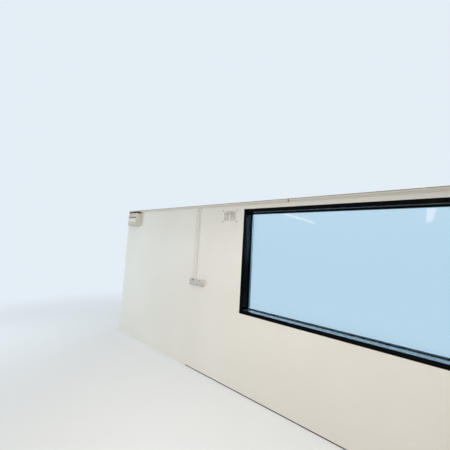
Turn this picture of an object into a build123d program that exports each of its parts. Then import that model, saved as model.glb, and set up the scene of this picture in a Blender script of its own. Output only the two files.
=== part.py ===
"""Side wall of a portable site cabin, with a fixed picture window.

The wall is made of insulated panels that stand in a base channel, slot into each other with a
tongue and groove, and are capped by a head channel. A mitred hollow window frame holds a
sealed double-glazed unit near the outside face. On the room side the wall carries a ceiling
trim, a vertical mini trunking with a double and a single socket, an air vent and a small
consumer unit.

Frame: X along the wall, to the right as seen from the room. Y through the wall, from the room
to the outside. Z up from the underside of the base channel. The origin is the middle of that
underside. All sizes are in millimetres.
"""
import os

from build123d import *

# The wall as a whole: whole bays on each side of the middle, and a narrower panel at each end
wall_h = 2401.0
wall_t = 150.0
bay = 1200.0
bays_each_side = 3
end_panel_w = 750.0

# Insulated panels
foot_gap = 7.0
rim_t = 12.0
joint_gap = 3.0
joint_chamfer = 2.0
tongue_w = 60.0
tongue_d = 22.0
tongue_taper = 4.0
tongue_clear = 0.3

# Channels that close the foot, the ends and the head
rail_t = 3.0
rail_h = 40.0
rail_clear = 0.3
rail_bend_r = 3.0
cap_t = 2.0
cap_h = 38.0
anchor_r = 7.0
anchor_count = 8
end_bolt_r = 5.5
end_bolt_pitch = 600.0
end_bolt_first = 300.0
end_bolt_count = 4

# Picture window, placed from the wall's top
win_w = 2926.0
win_h = 1349.0
win_drop = 94.0
face_w = 45.0
flange_t = 3.0
flange_lap = 15.0
frame_fit = 4.0
profile_t = 2.5
reveal_d = 125.0
stop_h = 8.0
stop_t = 12.0
rebate_d = 18.0
frame_nose = 25.0
frame_edge_r = 1.0
drain_w = 30.0
drain_h = 5.0
drain_count = 3
drain_pitch = 1100.0

# Glazing
pane_t = 6.0
cavity_t = 16.0
glass_bite = 12.0
gasket_t = 4.0
gasket_lip = 2.0
spacer_h = 9.0
spacer_rise = 4.0
spacer_wall = 1.0
bead_t = 15.0
bead_slope = 7.0

# Outside angles and sill round the window
angle_t = 2.5
angle_lap = 27.0
angle_leg = 20.0
drip_out = 26.0
drip_fall = 8.0
drip_down = 14.0
sill_tail = 32.0
sill_end = 30.0

# Ceiling trim on the head channel
trim_h = 42.0
trim_t = 6.0
trim_step_h = 16.0
trim_step_t = 3.0
trim_joint_x = -846.0
trim_joint_gap = 4.0

# Trunking and sockets, placed from the window's left edge and the floor
trunk_w = 50.0
trunk_d = 25.0
trunk_t = 1.6
service_left = 847.0
double_w = 146.0
single_w = 86.0
socket_h = 86.0
socket_z = 1246.0
socket_gap = 51.0
socket_box_d = 28.0
socket_plate_d = 9.0
socket_corner_r = 6.0
socket_edge_r = 2.0

# The face of a socket, measured from the middle of its plate
outlet_x = 36.0
rocker_x = 9.0
lone_rocker_x = -22.0
rocker_z = 26.0
rocker_w = 11.0
rocker_h = 17.0
rocker_d = 2.5
rocker_taper = 12.0
earth_z = 8.0
earth_w = 4.4
earth_h = 8.4
pin_x = 11.0
pin_z = -14.0
pin_w = 7.2
pin_h = 4.4
slot_d = 2.5

# Air vent, placed from the window's left edge and the wall's top
vent_w = 262.0
vent_h = 178.0
vent_left = 106.0
vent_drop = 91.0
vent_plate_t = 3.0
vent_corner_r = 6.0
duct_w = 190.0
duct_h = 126.0
sleeve_t = 2.0
sleeve_fit = 0.3
louvre_count = 7
louvre_t = 1.6
louvre_drop = 15.0
louvre_depth = 10.0
mullion_w = 22.0
transom_h = 14.0
louvre_seat = 0.8
louvre_inset = 0.6
hood_out = 14.0

# Consumer unit, placed from the wall's left end and the ceiling trim
unit_w = 288.0
unit_h = 240.0
unit_right = 153.0
unit_drop = 21.0
unit_d = 100.0
unit_base_d = 45.0
unit_wall = 2.5
unit_corner_r = 8.0
flap_w = 240.0
flap_h = 78.0
flap_t = 4.0
flap_drop = 99.0
flap_recess = 2.0
flap_gap = 1.0
grip_h = 24.0
grip_d = 9.0

# Places worked out from the sizes above
y_in = -wall_t / 2
y_out = wall_t / 2
half_l = bays_each_side * bay + end_panel_w
groove_half = wall_t / 2 - rim_t
rail_half = groove_half - rail_clear
win_top_z = wall_h - win_drop
win_sill_z = win_top_z - win_h
win_mid_z = win_top_z - win_h / 2
service_x = -win_w / 2 - service_left
single_socket_x = service_x + double_w / 2 + socket_gap + single_w / 2
vent_x = -win_w / 2 - vent_left - vent_w / 2
vent_z = wall_h - vent_drop - vent_h / 2
unit_x = -half_l + unit_right + unit_w / 2
unit_z = wall_h - trim_h - unit_drop - unit_h / 2
open_half_w = win_w / 2 - flange_lap
open_low_z = win_sill_z + flange_lap
open_top_z = win_top_z - flange_lap
body_d = flange_lap + frame_fit
rebate_floor = face_w + stop_h - rebate_d
glass_y = y_in + reveal_d
glass_back_y = glass_y + 2 * pane_t + cavity_t
stop_y = glass_y - gasket_t
bead_y = glass_back_y + gasket_t
nose_y = y_out + frame_nose
glass_edge = face_w + stop_h - glass_bite
duct_half_w = duct_w / 2
duct_half_h = duct_h / 2


def keep(piece, name):
    """Label a finished piece and write it as its own file."""
    piece.part.label = name
    export_step(piece.part, f"parts/{name}.step")


def box_between(low, high, mode=Mode.ADD):
    """A block from its lowest to its highest corner."""
    low = Vector(*low)
    high = Vector(*high)
    size = high - low
    with Locations((low + high) / 2):
        Box(size.X, size.Y, size.Z, mode=mode)


# Panel outlines in plan. Each edge is listed from the room side to the outside.
def tongue_edge(x):
    """Points of an edge that ends in a tongue, for the joint line at x."""
    face = x - joint_gap / 2
    half = tongue_w / 2
    tip = face + tongue_d
    return [
        (face - joint_chamfer, y_in),
        (face, y_in + joint_chamfer),
        (face, -half),
        (tip, -half + tongue_taper),
        (tip, half - tongue_taper),
        (face, half),
        (face, y_out - joint_chamfer),
        (face - joint_chamfer, y_out),
    ]


def groove_edge(x):
    """Points of an edge that takes the neighbour's tongue, for the joint line at x."""
    face = x + joint_gap / 2
    half = tongue_w / 2 + tongue_clear
    floor = x - joint_gap / 2 + tongue_d + tongue_clear
    return [
        (face + joint_chamfer, y_in),
        (face, y_in + joint_chamfer),
        (face, -half),
        (floor, -half + tongue_taper),
        (floor, half - tongue_taper),
        (face, half),
        (face, y_out - joint_chamfer),
        (face + joint_chamfer, y_out),
    ]


def end_edge(x, inward):
    """Points of an edge at the wall's end, rebated for the end channel."""
    floor = x + inward * rail_h
    return [
        (x, y_in),
        (x, -groove_half),
        (floor, -groove_half),
        (floor, groove_half),
        (x, groove_half),
        (x, y_out),
    ]


def foot_rebate():
    """Lowest and highest corner of the rebate that takes the base channel."""
    return (-half_l, -groove_half, 0), (half_l, groove_half, rail_h)


def window_opening():
    """Lowest and highest corner of the window's opening in the panels."""
    return (-open_half_w, y_in, open_low_z), (open_half_w, y_out, open_top_z)


def duct_opening():
    """Lowest and highest corner of the hole that takes the vent's sleeve."""
    half_w = duct_half_w + sleeve_t + sleeve_fit
    half_h = duct_half_h + sleeve_t + sleeve_fit
    low = (vent_x - half_w, y_in, vent_z - half_h)
    high = (vent_x + half_w, y_out, vent_z + half_h)
    return low, high


def wall_panel(name, left, right, low_z, high_z, openings):
    """A panel between two edges, with openings cut out of it."""
    with BuildPart() as panel:
        with BuildSketch(Plane.XY.offset(low_z)):
            with BuildLine():
                Polyline(*left, *right[::-1], close=True)
            make_face()
        extrude(amount=high_z - low_z)
        for low, high in openings:
            box_between(low, high, Mode.SUBTRACT)
    keep(panel, name)


def make_panels():
    """All the panels: whole bays between two closing panels, cut round the window."""
    foot = foot_rebate()
    window = window_opening()
    last = bays_each_side * bay
    wall_panel(
        "panel_end_left", end_edge(-half_l, 1), tongue_edge(-last), foot_gap, wall_h, [foot]
    )
    wall_panel(
        "panel_end_right", groove_edge(last), end_edge(half_l, -1), foot_gap, wall_h, [foot]
    )
    whole = (
        ("panel_left", -bays_each_side, [foot]),
        ("panel_window_left", -2, [foot, window, duct_opening()]),
        ("panel_window_right", 1, [foot, window]),
        ("panel_right", bays_each_side - 1, [foot]),
    )
    for name, number, openings in whole:
        left = groove_edge(number * bay)
        right = tongue_edge((number + 1) * bay)
        wall_panel(name, left, right, foot_gap, wall_h, openings)
    for side, number in (("left", -1), ("right", 0)):
        left = groove_edge(number * bay)
        right = tongue_edge((number + 1) * bay)
        wall_panel(f"panel_below_{side}", left, right, foot_gap, open_low_z, [foot])
        wall_panel(f"panel_above_{side}", left, right, open_top_z, wall_h, [])


def channel_points(half, height, gauge):
    """Outline of a channel with its web at the bottom, as points across and up."""
    return [
        (-half, height),
        (-half, 0),
        (half, 0),
        (half, height),
        (half - gauge, height),
        (half - gauge, gauge),
        (-half + gauge, gauge),
        (-half + gauge, height),
    ]


def make_base_channel():
    """The floor channel that the panels stand on, with its row of anchor holes."""
    with BuildPart() as base_channel:
        with BuildSketch(Plane.YZ):
            with BuildLine():
                Polyline(*channel_points(rail_half, rail_h, rail_t), close=True)
            make_face()
        extrude(amount=half_l, both=True)
        lower_edges = base_channel.edges().filter_by(Axis.X).group_by(Axis.Z)[0]
        fillet(lower_edges, rail_bend_r)
        with Locations(Plane.XY.offset(rail_t)):
            with GridLocations(bay, 1, anchor_count, 1):
                Hole(anchor_r)
    keep(base_channel, "base_channel")


def make_end_channel(name, side):
    """A channel that closes the wall's end, standing on the base channel."""
    end_plane = Plane(origin=(side * half_l, 0, rail_h), x_dir=(0, side, 0), z_dir=(0, 0, 1))
    with BuildPart() as end_channel:
        with BuildSketch(end_plane):
            with BuildLine():
                Polyline(*channel_points(rail_half, rail_h - rail_clear, rail_t), close=True)
            make_face()
        extrude(amount=wall_h - rail_h)
        for number in range(end_bolt_count):
            hole_z = end_bolt_first + number * end_bolt_pitch
            with Locations(Plane(origin=(side * half_l, 0, hole_z), z_dir=(side, 0, 0))):
                Hole(end_bolt_r, depth=rail_t)
    keep(end_channel, name)


def make_head_channel():
    """The folded cap over the panels' top edges."""
    inner = wall_t / 2
    outer = inner + cap_t
    low = wall_h - cap_h
    top = wall_h + cap_t
    outline = [
        (-outer, low),
        (-outer, top),
        (outer, top),
        (outer, low),
        (inner, low),
        (inner, wall_h),
        (-inner, wall_h),
        (-inner, low),
    ]
    with BuildPart() as head_channel:
        with BuildSketch(Plane.YZ):
            with BuildLine():
                Polyline(*outline, close=True)
            make_face()
        extrude(amount=half_l, both=True)
        fillet(head_channel.edges().filter_by(Axis.X).group_by(Axis.Z)[-1], cap_t)
    keep(head_channel, "head_channel")


# Each side of the window: its direction, the way to the window's middle, its length and its
# distance from the middle.
window_centre = Vector(0, 0, win_mid_z)
WINDOW_SIDES = {
    "sill": (Vector(1, 0, 0), Vector(0, 0, 1), win_w, win_h / 2),
    "right": (Vector(0, 0, 1), Vector(-1, 0, 0), win_h, win_w / 2),
    "head": (Vector(-1, 0, 0), Vector(0, 0, -1), win_w, win_h / 2),
    "left": (Vector(0, 0, -1), Vector(1, 0, 0), win_h, win_w / 2),
}


def mitred_bar(side, outline, chambers=(), square_ends=(None, None), front_r=0, drains=0):
    """One bar of a ring round the window, with a mitre at each end.

    The outline's points are (y, distance from the window's outer edge towards its middle).
    An end with a number in square_ends is cut square at that distance instead. The corners
    nearest the room are rounded by front_r. Drains are slots through the nose, outside.
    """
    along, inward, length, half = WINDOW_SIDES[side]
    edge_middle = window_centre - inward * half
    spare = length / 2 + angle_lap
    with BuildPart() as bar:
        with BuildSketch(Plane(origin=edge_middle, x_dir=(0, 1, 0), z_dir=along)):
            with BuildLine():
                Polyline(*outline, close=True)
            make_face()
            for chamber in chambers:
                with BuildLine():
                    Polyline(*chamber, close=True)
                make_face(mode=Mode.SUBTRACT)
        extrude(amount=spare, both=True)
        if front_r:
            long_edges = bar.edges().filter_by(Axis(edge_middle, along))
            fillet(long_edges.group_by(Axis.Y)[0], front_r)
        for direction, square in zip((-1, 1), square_ends):
            corner = edge_middle + along * (direction * length / 2)
            if square is None:
                cut = Plane(origin=corner, x_dir=(0, 1, 0), z_dir=along * direction + inward)
            else:
                flat = corner - along * (direction * square)
                cut = Plane(origin=flat, x_dir=(0, 1, 0), z_dir=along * direction)
            split(bisect_by=cut, keep=Keep.BOTTOM)
        if drains:
            nose = edge_middle + inward * ((body_d + rebate_floor) / 2) + Vector(0, nose_y, 0)
            with BuildSketch(Plane(origin=nose, x_dir=along, z_dir=(0, -1, 0))):
                with GridLocations(drain_pitch, 1, drains, 1):
                    SlotOverall(drain_w, drain_h)
            extrude(amount=2 * profile_t, mode=Mode.SUBTRACT)
    return bar


def rectangle(y0, y1, d0, d1):
    """Four points of a rectangle in the window's section."""
    return [(y0, d0), (y1, d0), (y1, d1), (y0, d1)]


def make_window_frame():
    """Four mitred bars of one hollow section: flange, reveal, glazing stop, rebate and nose."""
    flange_y = y_in - flange_t
    stop_front = stop_y - stop_t
    outline = [
        (flange_y, 0),
        (flange_y, face_w),
        (stop_front, face_w),
        (stop_front, face_w + stop_h),
        (stop_y, face_w + stop_h),
        (stop_y, rebate_floor),
        (nose_y, rebate_floor),
        (nose_y, body_d),
        (y_in, body_d),
        (y_in, 0),
    ]
    low = body_d + profile_t
    high = face_w - profile_t
    web_y = (y_in + stop_y) / 2
    chambers = [
        rectangle(y_in, web_y - profile_t / 2, low, high),
        rectangle(web_y + profile_t / 2, stop_y - profile_t, low, high),
        rectangle(stop_y, nose_y - profile_t, low, rebate_floor - profile_t),
    ]
    for side in WINDOW_SIDES:
        drains = drain_count if side == "sill" else 0
        bar = mitred_bar(side, outline, chambers, front_r=frame_edge_r, drains=drains)
        keep(bar, f"window_frame_{side}")


def make_glazing_beads():
    """Sloped beads that clip in from outside and hold the glass."""
    top = face_w + stop_h
    outline = [
        (bead_y, rebate_floor),
        (bead_y, top),
        (bead_y + bead_t - bead_slope, top),
        (bead_y + bead_t, top - bead_slope),
        (bead_y + bead_t, rebate_floor),
    ]
    for side in WINDOW_SIDES:
        keep(mitred_bar(side, outline), f"glazing_bead_{side}")


def make_glass():
    """The two panes of the sealed unit, the spacer between them and the gaskets beside them."""
    half_w = win_w / 2 - glass_edge
    low_z = win_sill_z + glass_edge
    high_z = win_top_z - glass_edge
    panes = (
        ("glass_inner_pane", glass_y, glass_y + pane_t),
        ("glass_outer_pane", glass_back_y - pane_t, glass_back_y),
    )
    for name, front_y, back_y in panes:
        with BuildPart() as pane:
            box_between((-half_w, front_y, low_z), (half_w, back_y, high_z))
        keep(pane, name)

    sight = face_w + stop_h
    inner_gasket = [
        (stop_y, glass_edge),
        (glass_y, glass_edge),
        (glass_y, sight + gasket_lip),
        (glass_y - gasket_t / 2, sight + gasket_lip),
        (stop_y, sight),
    ]
    outer_gasket = [
        (glass_back_y, glass_edge),
        (bead_y, glass_edge),
        (bead_y, sight),
        (glass_back_y + gasket_t / 2, sight + gasket_lip),
        (glass_back_y, sight + gasket_lip),
    ]
    spacer_top = sight + spacer_rise
    spacer = rectangle(glass_y + pane_t, glass_back_y - pane_t, spacer_top - spacer_h, spacer_top)
    spacer_core = rectangle(
        glass_y + pane_t + spacer_wall,
        glass_back_y - pane_t - spacer_wall,
        spacer_top - spacer_h + spacer_wall,
        spacer_top - spacer_wall,
    )
    rings = (
        ("gasket_inner", inner_gasket, ()),
        ("gasket_outer", outer_gasket, ()),
        ("glass_spacer", spacer, (spacer_core,)),
    )
    for name, outline, chambers in rings:
        with BuildPart() as ring:
            for side in WINDOW_SIDES:
                add(mitred_bar(side, outline, chambers).part)
        keep(ring, name)


def make_outside_trim():
    """Angles round the frame's nose on the outside face, and the sill with its drip."""
    skin_y = y_out + angle_t
    outer_d = body_d - angle_lap - angle_t
    leg_d = body_d - angle_t
    leg_y = y_out + angle_leg
    angle = [
        (y_out, outer_d),
        (skin_y, outer_d),
        (skin_y, leg_d),
        (leg_y, leg_d),
        (leg_y, body_d),
        (y_out, body_d),
    ]
    keep(mitred_bar("head", angle), "outside_angle_head")
    keep(mitred_bar("left", angle, square_ends=(None, body_d)), "outside_angle_left")
    keep(mitred_bar("right", angle, square_ends=(body_d, None)), "outside_angle_right")

    drip_y = nose_y + drip_out
    tip_d = body_d - drip_fall
    sill = [
        (y_out, body_d - sill_tail),
        (skin_y, body_d - sill_tail),
        (skin_y, leg_d),
        (nose_y, leg_d),
        (drip_y, tip_d - angle_t),
        (drip_y, tip_d - drip_down),
        (drip_y + angle_t, tip_d - drip_down),
        (drip_y + angle_t, tip_d),
        (nose_y, body_d),
        (y_out, body_d),
    ]
    keep(mitred_bar("sill", sill, square_ends=(-sill_end, -sill_end)), "outside_sill")


def make_ceiling_trim():
    """The stepped trim along the wall's top, in two lengths with a small gap."""
    face_y = y_in - cap_t
    outline = [
        (face_y, wall_h - trim_h),
        (face_y, wall_h),
        (face_y - trim_t, wall_h),
        (face_y - trim_t, wall_h - trim_h + trim_step_h),
        (face_y - trim_step_t, wall_h - trim_h + trim_step_h),
        (face_y - trim_step_t, wall_h - trim_h),
    ]
    lengths = (
        ("ceiling_trim_left", -half_l, trim_joint_x - trim_joint_gap / 2),
        ("ceiling_trim_right", trim_joint_x + trim_joint_gap / 2, half_l),
    )
    for name, start_x, end_x in lengths:
        with BuildPart() as trim:
            with BuildSketch(Plane.YZ.offset(start_x)):
                with BuildLine():
                    Polyline(*outline, close=True)
                make_face()
            extrude(amount=end_x - start_x)
        keep(trim, name)


def make_trunking():
    """Mini trunking from the ceiling trim down to the double socket: a base and a clip-on lid."""
    low_z = socket_z + socket_h / 2
    high_z = wall_h - trim_h
    half = trunk_w / 2
    lid_y = y_in - trunk_d
    base_plane = Plane(origin=(service_x, 0, low_z), z_dir=(0, 0, 1))
    base_front = lid_y + trunk_t
    base_outline = [
        (-half, y_in),
        (half, y_in),
        (half, base_front),
        (half - trunk_t, base_front),
        (half - trunk_t, y_in - trunk_t),
        (-half + trunk_t, y_in - trunk_t),
        (-half + trunk_t, base_front),
        (-half, base_front),
    ]
    with BuildPart() as trunking_base:
        with BuildSketch(base_plane):
            with BuildLine():
                Polyline(*base_outline, close=True)
            make_face()
        extrude(amount=high_z - low_z)
    keep(trunking_base, "trunking_base")

    with BuildPart() as trunking_lid:
        box_between((service_x - half, lid_y, low_z), (service_x + half, base_front, high_z))
        fillet(trunking_lid.edges().filter_by(Axis.Z).group_by(Axis.Y)[0], trunk_t / 2)
    keep(trunking_lid, "trunking_lid")


def make_socket(name, centre_x, plate_w, outlets, rockers):
    """A surface socket: back box, and a face plate with rockers and shuttered slots.

    Outlets and rockers are listed by their distance from the plate's middle.
    """
    wall_plane = Plane(origin=(centre_x, y_in, socket_z), x_dir=(1, 0, 0), z_dir=(0, -1, 0))
    with BuildPart() as back_box:
        with BuildSketch(wall_plane):
            RectangleRounded(plate_w, socket_h, socket_corner_r)
        extrude(amount=socket_box_d)
    keep(back_box, f"{name}_back_box")

    with BuildPart() as plate:
        with BuildSketch(wall_plane.offset(socket_box_d)):
            RectangleRounded(plate_w, socket_h, socket_corner_r)
        extrude(amount=socket_plate_d)
        fillet(plate.faces().sort_by(Axis.Y)[0].edges(), socket_edge_r)
        front_plane = wall_plane.offset(socket_box_d + socket_plate_d)
        with BuildSketch(front_plane):
            for outlet in outlets:
                with Locations((outlet, earth_z)):
                    Rectangle(earth_w, earth_h)
                with Locations((outlet - pin_x, pin_z), (outlet + pin_x, pin_z)):
                    Rectangle(pin_w, pin_h)
        extrude(amount=-slot_d, mode=Mode.SUBTRACT)
        with BuildSketch(front_plane):
            for rocker in rockers:
                with Locations((rocker, rocker_z)):
                    Rectangle(rocker_w, rocker_h)
        extrude(amount=rocker_d, taper=rocker_taper)
    keep(plate, f"{name}_plate")


def vent_plate(name, skin_y, outward, has_hood):
    """A plate with a louvred field over the duct: a hood outside, a cross of bars inside."""
    plate_plane = Plane(origin=(vent_x, skin_y, vent_z), x_dir=(1, 0, 0), z_dir=(0, outward, 0))
    field_w = duct_w + 2 * louvre_t
    field_h = duct_h + 2 * louvre_t
    back_y = skin_y + outward * louvre_inset
    front_y = skin_y + outward * (louvre_depth - louvre_inset)
    pitch = duct_h / louvre_count
    first_z = vent_z + duct_half_h - (pitch - louvre_drop - louvre_t) / 2
    with BuildPart() as plate:
        with BuildSketch(plate_plane):
            RectangleRounded(vent_w, vent_h, vent_corner_r)
            Rectangle(duct_w, duct_h, mode=Mode.SUBTRACT)
        extrude(amount=vent_plate_t)
        with BuildSketch(plate_plane):
            Rectangle(field_w, field_h)
            Rectangle(duct_w, duct_h, mode=Mode.SUBTRACT)
        extrude(amount=louvre_depth)
        for number in range(louvre_count):
            top_z = first_z - number * pitch
            blade = [
                (back_y, top_z),
                (front_y, top_z - louvre_drop),
                (front_y, top_z - louvre_drop - louvre_t),
                (back_y, top_z - louvre_t),
            ]
            with BuildSketch(Plane.YZ.offset(vent_x)):
                with BuildLine():
                    Polyline(*blade, close=True)
                make_face()
            extrude(amount=duct_half_w + louvre_seat, both=True)
        if has_hood:
            hood_y = skin_y + outward * (louvre_depth + hood_out)
            hood_z = vent_z + field_h / 2
            box_between(
                (vent_x - field_w / 2, min(skin_y, hood_y), hood_z - louvre_t),
                (vent_x + field_w / 2, max(skin_y, hood_y), hood_z),
            )
        else:
            box_between(
                (vent_x - mullion_w / 2, front_y, vent_z - duct_half_h),
                (vent_x + mullion_w / 2, back_y, vent_z + duct_half_h),
            )
            box_between(
                (vent_x - duct_half_w, front_y, vent_z - transom_h / 2),
                (vent_x + duct_half_w, back_y, vent_z + transom_h / 2),
            )
    keep(plate, name)


def make_vent():
    """The vent: an inner plate, a sleeve through the wall and an outer plate with a hood."""
    vent_plate("vent_inner_plate", y_in, -1, False)
    vent_plate("vent_outer_plate", y_out, 1, True)
    with BuildPart() as sleeve:
        with BuildSketch(Plane(origin=(vent_x, y_in, vent_z), x_dir=(1, 0, 0), z_dir=(0, -1, 0))):
            Rectangle(duct_w + 2 * sleeve_t, duct_h + 2 * sleeve_t)
            Rectangle(duct_w, duct_h, mode=Mode.SUBTRACT)
        extrude(amount=-wall_t)
    keep(sleeve, "vent_sleeve")


def make_consumer_unit():
    """The small consumer unit: a tray on the wall, a cover with a finger grip, and a flap."""
    wall_plane = Plane(origin=(unit_x, y_in, unit_z), x_dir=(1, 0, 0), z_dir=(0, -1, 0))
    with BuildPart() as tray:
        with BuildSketch(wall_plane):
            RectangleRounded(unit_w, unit_h, unit_corner_r)
        extrude(amount=unit_base_d)
        with BuildSketch(wall_plane.offset(unit_wall)):
            Rectangle(unit_w - 2 * unit_wall, unit_h - 2 * unit_wall)
        extrude(amount=unit_base_d - unit_wall, mode=Mode.SUBTRACT)
    keep(tray, "consumer_unit_tray")

    front = unit_d - flap_t + flap_recess
    flap_z = unit_h / 2 - flap_drop - flap_h / 2
    grip_z = flap_z + flap_h / 2 + flap_gap + grip_h / 2
    with BuildPart() as cover:
        with BuildSketch(wall_plane.offset(unit_base_d)):
            RectangleRounded(unit_w, unit_h, unit_corner_r)
        extrude(amount=front - unit_base_d)
        fillet(cover.faces().sort_by(Axis.Y)[0].edges(), unit_corner_r / 2)
        with BuildSketch(wall_plane.offset(unit_base_d)):
            Rectangle(unit_w - 2 * unit_wall, unit_h - 2 * unit_wall)
        extrude(amount=front - unit_base_d - 2 * unit_wall, mode=Mode.SUBTRACT)
        with BuildSketch(wall_plane.offset(front - flap_recess)):
            with Locations((0, grip_z)):
                Rectangle(flap_w + 2 * unit_wall, grip_h + 2 * unit_wall)
        extrude(amount=-grip_d)
        with BuildSketch(wall_plane.offset(front)):
            with Locations((0, flap_z)):
                Rectangle(flap_w + 2 * flap_gap, flap_h + 2 * flap_gap)
        extrude(amount=-flap_recess, mode=Mode.SUBTRACT)
        with BuildSketch(wall_plane.offset(front)):
            with Locations((0, grip_z)):
                RectangleRounded(flap_w, grip_h, unit_wall)
        extrude(amount=-grip_d, mode=Mode.SUBTRACT)
    keep(cover, "consumer_unit_cover")

    with BuildPart() as flap:
        with BuildSketch(wall_plane.offset(front - flap_recess)):
            with Locations((0, flap_z)):
                RectangleRounded(flap_w, flap_h, flap_t / 2)
        extrude(amount=flap_t)
        fillet(flap.faces().sort_by(Axis.Y)[0].edges(), flap_t / 3)
    keep(flap, "consumer_unit_flap")


os.makedirs("parts", exist_ok=True)
make_panels()
make_base_channel()
make_end_channel("end_channel_left", -1)
make_end_channel("end_channel_right", 1)
make_head_channel()
make_window_frame()
make_glazing_beads()
make_glass()
make_outside_trim()
make_ceiling_trim()
make_trunking()
make_socket(
    "socket_left", service_x, double_w, (-outlet_x, outlet_x), (-rocker_x, rocker_x)
)
make_socket("socket_right", single_socket_x, single_w, (0,), (lone_rocker_x,))
make_vent()
make_consumer_unit()
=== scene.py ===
# %% [markdown]
# # The side wall of a site cabin, with its picture window
#
# The panels, channels, window and fittings are already there at their real size and place, in
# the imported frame. This lesson gives each of them its finish, and adds the small things that
# the solids leave out: seals, screws, slots, clips and a fly mesh. Before each step a few
# sentences say what the piece is on the real wall, how it could be made, and why this way won.

# %% Load the frame
import math
import random

import bmesh
import bpy
from mathutils import Matrix, Vector


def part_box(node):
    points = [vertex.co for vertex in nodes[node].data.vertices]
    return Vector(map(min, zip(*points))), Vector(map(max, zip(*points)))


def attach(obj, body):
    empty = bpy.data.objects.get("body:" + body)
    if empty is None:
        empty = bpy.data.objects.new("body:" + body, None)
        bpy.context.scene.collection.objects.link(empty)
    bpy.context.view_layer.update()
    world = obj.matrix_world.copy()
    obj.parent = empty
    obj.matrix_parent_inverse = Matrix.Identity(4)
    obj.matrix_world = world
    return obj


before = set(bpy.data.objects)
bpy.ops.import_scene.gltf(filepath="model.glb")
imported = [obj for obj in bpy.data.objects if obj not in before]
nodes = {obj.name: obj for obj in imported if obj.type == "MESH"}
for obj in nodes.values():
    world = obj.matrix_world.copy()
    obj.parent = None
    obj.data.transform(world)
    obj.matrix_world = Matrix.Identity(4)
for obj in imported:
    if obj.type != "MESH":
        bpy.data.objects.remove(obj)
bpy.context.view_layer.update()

# %% [markdown]
# ## Camera
#
# The picture is taken from inside the room, standing close to the wall and looking along it
# through a very wide lens. Where four or more straight edges meet at known sizes, the place,
# the turn and the focal length follow from the perspective, so they are plain values here.
# The lens is worked out from a focal length in pixels, because the sensor's width stands for
# the picture's width.

# %% Camera
PICTURE_PIXELS = 450
FOCAL_PIXELS = 241.2
SENSOR_MM = 36.0
EYE = Vector((0.350, -2.695, 1.821))
EYE_TURN = math.radians(39.10)
EYE_TILT = math.radians(4.68)
EYE_ROLL = math.radians(3.28)


def in_scene(name, data):
    """A new object in the scene, at the origin, that shows some data."""
    holder = bpy.data.objects.new(name, data)
    bpy.context.scene.collection.objects.link(holder)
    return holder


lens = bpy.data.cameras.new("room_camera")
lens.sensor_width = SENSOR_MM
lens.lens = FOCAL_PIXELS * SENSOR_MM / PICTURE_PIXELS
lens.clip_start = 0.05
lens.clip_end = 400
camera = in_scene("room_camera", lens)
turned_left = Matrix.Rotation(EYE_TURN, 4, "Z")
tilted_up = Matrix.Rotation(math.pi / 2 + EYE_TILT, 4, "X")
rolled = Matrix.Rotation(EYE_ROLL, 4, "Z")
camera.matrix_world = Matrix.Translation(EYE) @ turned_left @ tilted_up @ rolled
bpy.context.scene.camera = camera
print("lens:", round(lens.lens, 2), "mm")

# %% [markdown]
# ## Where things are
#
# Every place below comes from the boxes of the frame's own nodes, in metres, so nothing has to
# be fitted afterwards. The wall runs along X, the room is on the -Y side, and Z is up.

# %% Places taken from the frame
panel_low, panel_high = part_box("panel_left")
room_y = panel_low.y
outside_y = panel_high.y
foot_z = panel_low.z
cap_low, cap_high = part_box("head_channel")
trim_low, trim_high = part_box("ceiling_trim_right")
unit_low, unit_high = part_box("consumer_unit_cover")
vent_low, vent_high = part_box("vent_sleeve")
vent_mid = (vent_low + vent_high) / 2
window_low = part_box("window_frame_left")[0]
window_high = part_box("window_frame_right")[1]
window_mid = (window_low + window_high) / 2
window_half_w = (window_high.x - window_low.x) / 2
window_half_h = (window_high.z - window_low.z) / 2
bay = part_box("panel_below_right")[0].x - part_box("panel_below_left")[0].x
JOINTS = [number * round(bay, 3) for number in range(-3, 4)]
print("room face y", round(room_y, 4), "window half sizes", window_half_w, window_half_h)

# %% [markdown]
# ## Node helpers
#
# A procedural finish is a small network of nodes: a pattern, a remap of its contrast, and a
# mix of two colours. Wiring that by hand takes many lines, so a few helpers make one node
# each and return the socket that carries the result. They find the tree through the socket
# that they are given. All patterns read Object coordinates, which are metres in the wall's own
# frame here, so a scale of 100 means a feature of about a centimetre.

# %% Node helpers
def wire(node, inputs):
    """Give a node's inputs plain values, or links from other sockets."""
    for socket, value in inputs.items():
        if isinstance(value, bpy.types.NodeSocket):
            node.id_data.links.new(value, node.inputs[socket])
        else:
            node.inputs[socket].default_value = value


def add_node(tree, kind, inputs=None, **settings):
    """A shader node with its settings and inputs."""
    node = tree.nodes.new("ShaderNode" + kind)
    for setting, value in settings.items():
        setattr(node, setting, value)
    wire(node, inputs or {})
    return node


def source(beside, kind, output):
    """An output of a new node without inputs, in the tree of another node or socket."""
    return add_node(beside.id_data, kind).outputs[output]


def axes(vector):
    """The x, y and z of a vector."""
    return add_node(vector.id_data, "SeparateXYZ", {"Vector": vector}).outputs


def maths(operation, first, second=0.0, third=0.0):
    """The result of one math operation on a socket and up to two values or sockets."""
    inputs = {0: first, 1: second, 2: third}
    return add_node(first.id_data, "Math", inputs, operation=operation).outputs[0]


def times(first, second):
    """Two factors multiplied."""
    return maths("MULTIPLY", first, second)


def away_from(value, middle):
    """How far a value is from a middle."""
    return maths("ABSOLUTE", maths("SUBTRACT", value, middle))


def remap(value, low, high, to_low=0.0, to_high=1.0):
    """The value stretched from low..high to to_low..to_high, and held at its ends."""
    limits = {"From Min": low, "From Max": high, "To Min": to_low, "To Max": to_high}
    inputs = {"Value": value, **limits}
    return add_node(value.id_data, "MapRange", inputs, clamp=True).outputs["Result"]


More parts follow.
